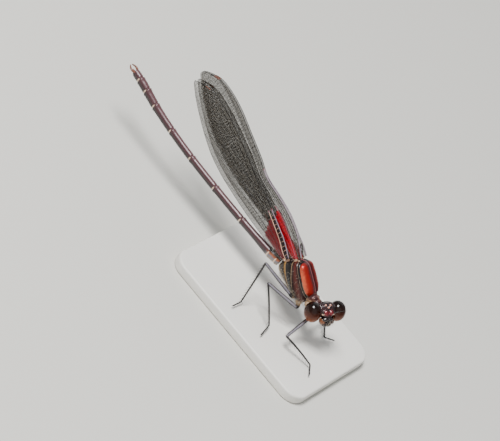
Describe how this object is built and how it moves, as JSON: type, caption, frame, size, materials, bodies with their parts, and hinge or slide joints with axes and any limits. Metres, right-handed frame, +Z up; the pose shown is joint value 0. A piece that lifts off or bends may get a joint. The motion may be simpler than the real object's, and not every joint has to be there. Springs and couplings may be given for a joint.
{
  "type": "rubyspot damselfly, male, resting",
  "caption": "Life-size still model of a male rubyspot damselfly at rest with its wings closed over its back, on a plain flat plate.",
  "frame": {"origin": "bottom centre of the whole model, on the surface the plate rests on", "axes": "+X towards the head, +Y to the animal's left, +Z up"},
  "size_m": [0.051, 0.02, 0.019],
  "materials": {
    "head": "satin, dark bronze red",
    "eye": "glossy, near black above and amber brown below",
    "thorax": "metallic red and black bands",
    "wing": "clear smoky membrane with dark veins and a red base",
    "abdomen": "satin, mauve brown",
    "leg": "satin black",
    "stand": "matt, off white"
  },
  "bodies": {
    "root": {"abdomen_01": "abdomen", "abdomen_02": "abdomen", "abdomen_03": "abdomen", "abdomen_04": "abdomen", "abdomen_05": "abdomen", "abdomen_06": "abdomen", "abdomen_07": "abdomen", "abdomen_08": "abdomen", "abdomen_09": "abdomen", "abdomen_10": "abdomen", "antenna_left": "leg", "antenna_right": "leg", "cercus_left": "abdomen", "cercus_right": "abdomen", "eye_left": "eye", "eye_right": "eye", "femur_front_left": "leg", "femur_front_right": "leg", "femur_hind_left": "leg", "femur_hind_right": "leg", "femur_middle_left": "leg", "femur_middle_right": "leg", "forewing_left": "wing", "forewing_right": "wing", "head": "head", "hindwing_left": "wing", "hindwing_right": "wing", "mouthparts": "head", "prothorax": "head", "stand_base": "stand", "synthorax": "thorax", "tarsus_front_left": "leg", "tarsus_front_right": "leg", "tarsus_hind_left": "leg", "tarsus_hind_right": "leg", "tarsus_middle_left": "leg", "tarsus_middle_right": "leg", "tibia_front_left": "leg", "tibia_front_right": "leg", "tibia_hind_left": "leg", "tibia_hind_right": "leg", "tibia_middle_left": "leg", "tibia_middle_right": "leg"}
  },
  "joints": []
}
